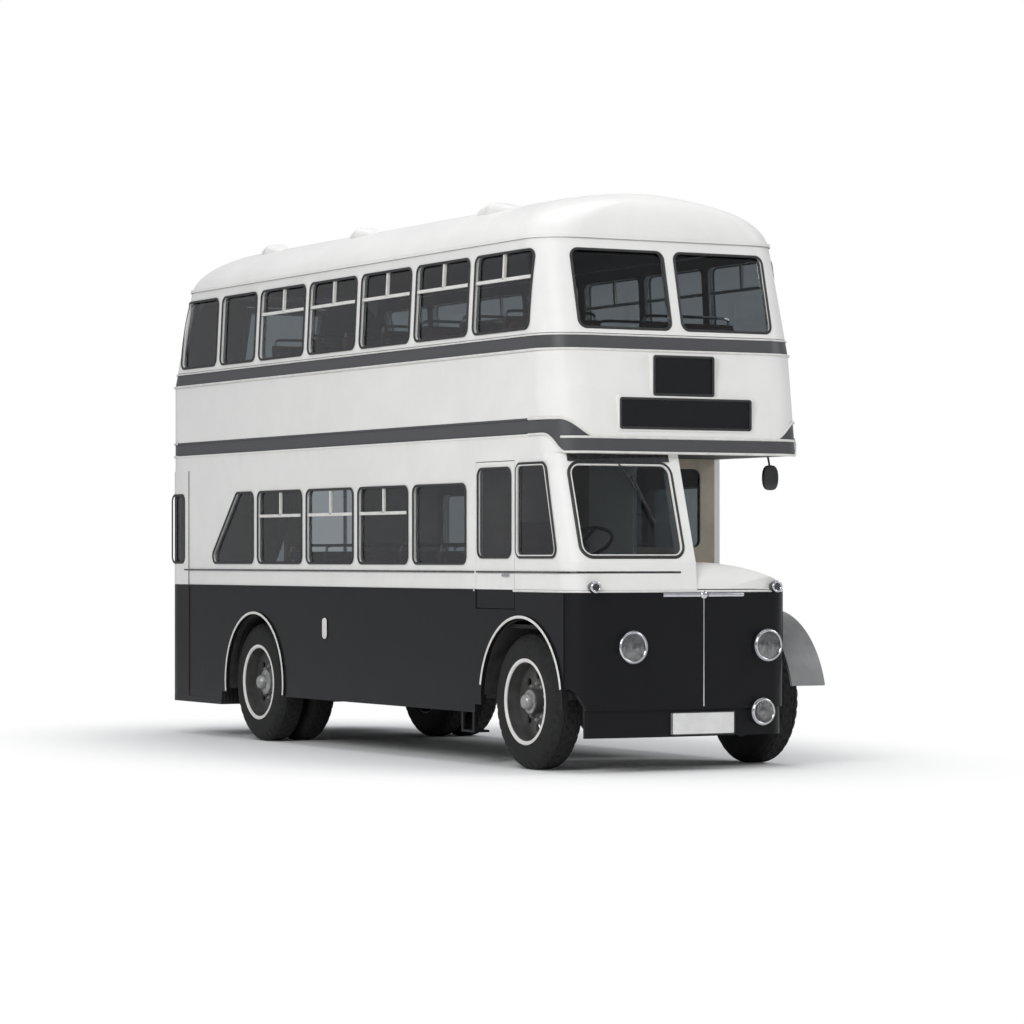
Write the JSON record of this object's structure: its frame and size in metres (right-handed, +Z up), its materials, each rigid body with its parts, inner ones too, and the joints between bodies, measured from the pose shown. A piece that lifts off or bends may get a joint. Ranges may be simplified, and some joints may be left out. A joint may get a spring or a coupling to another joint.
{
  "type": "double decker bus",
  "caption": "Half-cab double decker bus with an enclosed full-width nose, open rear platform with stairs, raked upper front, steered front wheels and twin rear wheels.",
  "frame": {"origin": "on the ground, under the middle of the bus", "axes": "+X forward along the bus, +Y to the nearside (left), +Z up"},
  "size_m": [7.92, 2.286, 4.5],
  "materials": {
    "cream_paint": "gloss",
    "black_paint": "gloss",
    "chassis_paint": "satin",
    "engine_paint": "satin",
    "seat_leather": "satin",
    "lamp_chrome": "polished",
    "pole_chrome": "polished",
    "spring_steel": "satin",
    "floor_wood": "worn",
    "black_plastic": "matte",
    "window_glass": "clear",
    "tyre_rubber": "matte",
    "wheel_paint": "satin"
  },
  "bodies": {
    "bus": {"bonnet_side": "black_paint", "cab_base": "black_paint", "cab_shell": "cream_paint", "chassis_frame": "chassis_paint", "driver_seat": "seat_leather", "engine": "engine_paint", "front_axle": "chassis_paint", "front_panel": "black_paint", "fuel_tank": "chassis_paint", "gearbox": "engine_paint", "grab_poles": "pole_chrome", "lamps": "lamp_chrome", "leaf_springs": "spring_steel", "lower_floor": "floor_wood", "lower_rear": "black_paint", "lower_side_nearside": "black_paint", "lower_side_offside": "black_paint", "nearside_wing": "black_paint", "passenger_seats": "seat_leather", "rear_axle": "chassis_paint", "rear_platform": "floor_wood", "roof": "cream_paint", "roof_vents": "cream_paint", "saloon_bulkheads": "cream_paint", "staircase": "chassis_paint", "steering_wheel": "black_plastic", "upper_floor": "floor_wood", "upper_front": "cream_paint", "upper_rear": "cream_paint", "upper_side_nearside": "cream_paint", "upper_side_offside": "cream_paint", "window_glass": "window_glass"},
    "bonnet_lid": {"bonnet_lid": "cream_paint"},
    "cab_door": {"cab_door": "cream_paint"},
    "emergency_window": {"emergency_window": "cream_paint"},
    "nearside_front_wheel": {"nearside_front_tyre": "tyre_rubber", "nearside_front_wheel": "wheel_paint"},
    "nearside_knuckle": {"nearside_knuckle": "chassis_paint"},
    "nearside_rear_wheel": {"nearside_rear_tyre": "tyre_rubber", "nearside_rear_wheel": "wheel_paint"},
    "offside_front_wheel": {"offside_front_tyre": "tyre_rubber", "offside_front_wheel": "wheel_paint"},
    "offside_knuckle": {"offside_knuckle": "chassis_paint"},
    "offside_rear_wheel": {"offside_rear_tyre": "tyre_rubber", "offside_rear_wheel": "wheel_paint"}
  },
  "joints": [
    {"name": "offside_steering", "type": "hinge", "parent": "bus", "child": "offside_knuckle", "pos_m": [3.09, -0.78, 0.525], "axis": [0, 0, 1], "range_deg": [-35, 35]},
    {"name": "nearside_steering", "type": "hinge", "parent": "bus", "child": "nearside_knuckle", "pos_m": [3.09, 0.78, 0.525], "axis": [0, 0, 1], "range_deg": [-35, 35]},
    {"name": "offside_front_spin", "type": "hinge", "parent": "offside_knuckle", "child": "offside_front_wheel", "pos_m": [3.09, -0.975, 0.525], "axis": [0, 1, 0], "continuous": true},
    {"name": "nearside_front_spin", "type": "hinge", "parent": "nearside_knuckle", "child": "nearside_front_wheel", "pos_m": [3.09, 0.975, 0.525], "axis": [0, 1, 0], "continuous": true},
    {"name": "offside_rear_spin", "type": "hinge", "parent": "bus", "child": "offside_rear_wheel", "pos_m": [-1.87, -0.83, 0.525], "axis": [0, 1, 0], "continuous": true},
    {"name": "nearside_rear_spin", "type": "hinge", "parent": "bus", "child": "nearside_rear_wheel", "pos_m": [-1.87, 0.83, 0.525], "axis": [0, 1, 0], "continuous": true},
    {"name": "cab_door_hinge", "type": "hinge", "parent": "bus", "child": "cab_door", "pos_m": [2.348, -1.135, 1.8], "axis": [0, 0, -1], "range_deg": [0, 75]},
    {"name": "bonnet_hinge", "type": "hinge", "parent": "bus", "child": "bonnet_lid", "pos_m": [3.1, -0.05715, 1.59991], "axis": [1, 0, 0], "range_deg": [0, 60]},
    {"name": "emergency_window_hinge", "type": "hinge", "parent": "bus", "child": "emergency_window", "pos_m": [-3.67095, 0, 4.00707], "axis": [0, 1, 0], "range_deg": [0, 55]}
  ],
  "couplings": [
    {"joint": "nearside_steering", "follows": "offside_steering", "ratio": 1}
  ]
}
